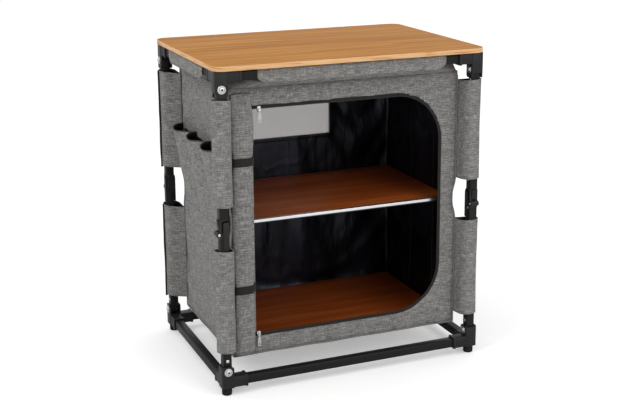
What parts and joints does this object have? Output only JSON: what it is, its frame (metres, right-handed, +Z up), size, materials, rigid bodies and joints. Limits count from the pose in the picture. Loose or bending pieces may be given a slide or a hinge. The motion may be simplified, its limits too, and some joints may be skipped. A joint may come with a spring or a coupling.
{
  "type": "folding camp cupboard",
  "caption": "Folding camp cupboard: bamboo table top on a folding square-tube frame with a zipped cloth cabinet, shelf, side pockets and rolled door.",
  "frame": {"origin": "on the floor under the middle of the table top", "axes": "+X to the right along the front, +Y from the open front to the back, +Z up"},
  "size_m": [0.7, 0.5, 0.8],
  "materials": {
    "bamboo": "satin",
    "board_veneer": "satin",
    "tube_coat": "powder coat",
    "hub_plastic": "fine texture",
    "foot_rubber": "matt",
    "cloth": "woven",
    "webbing": "woven",
    "net": "knitted net",
    "zip_metal": "nickel plated",
    "edge_aluminium": "anodised"
  },
  "bodies": {
    "base": {"bottom_hub_front_left": "hub_plastic", "bottom_hub_front_right": "hub_plastic", "bottom_hub_back_right": "hub_plastic", "bottom_hub_back_left": "hub_plastic", "foot_front_left": "foot_rubber", "foot_front_right": "foot_rubber", "foot_back_right": "foot_rubber", "foot_back_left": "foot_rubber", "bottom_rail_front": "tube_coat", "bottom_rail_right": "tube_coat", "bottom_rail_back": "tube_coat", "bottom_rail_left": "tube_coat", "cloth_cabinet": "cloth", "window_net": "net", "side_pockets": "cloth", "rolled_door": "cloth", "door_strap_upper": "webbing", "door_strap_lower": "webbing", "zip_tape_side": "webbing"},
    "top_frame": {"top_hub_front_left": "hub_plastic", "top_hub_front_right": "hub_plastic", "top_hub_back_right": "hub_plastic", "top_hub_back_left": "hub_plastic", "top_rail_front": "tube_coat", "top_rail_right": "tube_coat", "top_rail_back": "tube_coat", "top_rail_left": "tube_coat"},
    "table": {"table_top": "bamboo"},
    "bottom_board": {"bottom_board": "board_veneer"},
    "shelf": {"shelf_board": "board_veneer", "shelf_edge_profile": "edge_aluminium"},
    "ledge": {"shelf_ledge": "webbing"},
    "zip_top": {"zip_tape_top": "webbing"},
    "zip_bottom": {"zip_tape_bottom": "webbing"},
    "slider_upper": {"zip_slider_upper": "zip_metal"},
    "slider_lower": {"zip_slider_lower": "zip_metal"},
    "pull_upper": {"zip_pull_upper": "zip_metal"},
    "pull_lower": {"zip_pull_lower": "zip_metal"},
    "lower_leg_front_left": {"lower_leg_front_left": "tube_coat", "knee_tongue_front_left": "hub_plastic"},
    "upper_leg_front_left": {"upper_leg_front_left": "tube_coat", "knee_fork_front_left": "hub_plastic"},
    "lever_front_left": {"release_lever_front_left": "hub_plastic"},
    "lower_leg_front_right": {"lower_leg_front_right": "tube_coat", "knee_tongue_front_right": "hub_plastic"},
    "upper_leg_front_right": {"upper_leg_front_right": "tube_coat", "knee_fork_front_right": "hub_plastic"},
    "lever_front_right": {"release_lever_front_right": "hub_plastic"},
    "lower_leg_back_right": {"lower_leg_back_right": "tube_coat", "knee_tongue_back_right": "hub_plastic"},
    "upper_leg_back_right": {"upper_leg_back_right": "tube_coat", "knee_fork_back_right": "hub_plastic"},
    "lever_back_right": {"release_lever_back_right": "hub_plastic"},
    "lower_leg_back_left": {"lower_leg_back_left": "tube_coat", "knee_tongue_back_left": "hub_plastic"},
    "upper_leg_back_left": {"upper_leg_back_left": "tube_coat", "knee_fork_back_left": "hub_plastic"},
    "lever_back_left": {"release_lever_back_left": "hub_plastic"}
  },
  "joints": [
    {"name": "fold", "type": "hinge", "parent": "base", "child": "lower_leg_front_left", "pos_m": [-0.33, -0.226, 0.0613], "axis": [0, 1, 0], "range_deg": [0, 85], "deforming": ["cloth_cabinet", "window_net", "side_pockets", "rolled_door", "door_strap_upper", "door_strap_lower", "zip_tape_side"]},
    {"name": "knee_front_left", "type": "hinge", "parent": "lower_leg_front_left", "child": "upper_leg_front_left", "pos_m": [-0.343, -0.226, 0.4035], "axis": [0, 1, 0], "range_deg": [-170, 0]},
    {"name": "lever_front_left_press", "type": "hinge", "parent": "upper_leg_front_left", "child": "lever_front_left", "pos_m": [-0.3386, -0.226, 0.415], "axis": [0, 1, 0], "range_deg": [0, 7], "stiffness_Nm_per_rad": 0.4, "springref_deg": -5.73},
    {"name": "ankle_front_right", "type": "hinge", "parent": "base", "child": "lower_leg_front_right", "pos_m": [0.33, -0.226, 0.0613], "axis": [-1, 0, 0], "range_deg": [0, 85]},
    {"name": "knee_front_right", "type": "hinge", "parent": "lower_leg_front_right", "child": "upper_leg_front_right", "pos_m": [0.33, -0.239, 0.4035], "axis": [-1, 0, 0], "range_deg": [-170, 0]},
    {"name": "lever_front_right_press", "type": "hinge", "parent": "upper_leg_front_right", "child": "lever_front_right", "pos_m": [0.33, -0.2346, 0.415], "axis": [-1, 0, 0], "range_deg": [0, 7], "stiffness_Nm_per_rad": 0.4, "springref_deg": -5.73},
    {"name": "ankle_back_right", "type": "hinge", "parent": "base", "child": "lower_leg_back_right", "pos_m": [0.33, 0.226, 0.0613], "axis": [0, -1, 0], "range_deg": [0, 85]},
    {"name": "knee_back_right", "type": "hinge", "parent": "lower_leg_back_right", "child": "upper_leg_back_right", "pos_m": [0.343, 0.226, 0.4035], "axis": [0, -1, 0], "range_deg": [-170, 0]},
    {"name": "lever_back_right_press", "type": "hinge", "parent": "upper_leg_back_right", "child": "lever_back_right", "pos_m": [0.3386, 0.226, 0.415], "axis": [0, -1, 0], "range_deg": [0, 7], "stiffness_Nm_per_rad": 0.4, "springref_deg": -5.73},
    {"name": "ankle_back_left", "type": "hinge", "parent": "base", "child": "lower_leg_back_left", "pos_m": [-0.33, 0.226, 0.0613], "axis": [1, 0, 0], "range_deg": [0, 85]},
    {"name": "knee_back_left", "type": "hinge", "parent": "lower_leg_back_left", "child": "upper_leg_back_left", "pos_m": [-0.33, 0.239, 0.4035], "axis": [1, 0, 0], "range_deg": [-170, 0]},
    {"name": "lever_back_left_press", "type": "hinge", "parent": "upper_leg_back_left", "child": "lever_back_left", "pos_m": [-0.33, 0.2346, 0.415], "axis": [1, 0, 0], "range_deg": [0, 7], "stiffness_Nm_per_rad": 0.4, "springref_deg": -5.73},
    {"name": "top_frame_level", "type": "hinge", "parent": "upper_leg_front_left", "child": "top_frame", "pos_m": [-0.33, -0.226, 0.7457], "axis": [0, 1, 0], "range_deg": [0, 85]},
    {"name": "table_lift", "type": "slide", "parent": "top_frame", "child": "table", "axis": [0, 0, 1], "range_m": [0, 0.3]},
    {"name": "bottom_board_lift", "type": "slide", "parent": "base", "child": "bottom_board", "axis": [0, 0, 1], "range_m": [0, 0.1]},
    {"name": "ledge_follow", "type": "slide", "parent": "base", "child": "ledge", "axis": [0, 0, 1], "range_m": [-0.2873, 0]},
    {"name": "zip_top_follow", "type": "slide", "parent": "base", "child": "zip_top", "axis": [0, 0, 1], "range_m": [-0.5438, 0]},
    {"name": "zip_bottom_follow", "type": "slide", "parent": "base", "child": "zip_bottom", "axis": [0, 0, 1], "range_m": [-0.0428, 0]},
    {"name": "shelf_lift", "type": "slide", "parent": "ledge", "child": "shelf", "axis": [0, 0, 1], "range_m": [0, 0.15]},
    {"name": "slider_upper_slide", "type": "slide", "parent": "zip_top", "child": "slider_upper", "axis": [1, 0, 0], "range_m": [0, 0.355]},
    {"name": "slider_lower_slide", "type": "slide", "parent": "zip_bottom", "child": "slider_lower", "axis": [1, 0, 0], "range_m": [0, 0.34]},
    {"name": "pull_upper_swing", "type": "hinge", "parent": "slider_upper", "child": "pull_upper", "pos_m": [-0.227, -0.2034, 0.683], "axis": [1, 0, 0], "range_deg": [-160, 0]},
    {"name": "pull_lower_swing", "type": "hinge", "parent": "slider_lower", "child": "pull_lower", "pos_m": [-0.237, -0.2034, 0.128], "axis": [1, 0, 0], "range_deg": [-160, 0]}
  ],
  "couplings": [
    {"joint": "knee_front_left", "follows": "fold", "ratio": -2},
    {"joint": "ankle_front_right", "follows": "fold", "ratio": 1},
    {"joint": "knee_front_right", "follows": "fold", "ratio": -2},
    {"joint": "ankle_back_right", "follows": "fold", "ratio": 1},
    {"joint": "knee_back_right", "follows": "fold", "ratio": -2},
    {"joint": "ankle_back_left", "follows": "fold", "ratio": 1},
    {"joint": "knee_back_left", "follows": "fold", "ratio": -2},
    {"joint": "top_frame_level", "follows": "fold", "ratio": 1},
    {"joint": "ledge_follow", "follows": "fold", "m_per_rad": -0.19296},
    {"joint": "zip_top_follow", "follows": "fold", "m_per_rad": -0.36588},
    {"joint": "zip_bottom_follow", "follows": "fold", "m_per_rad": -0.028191}
  ]
}
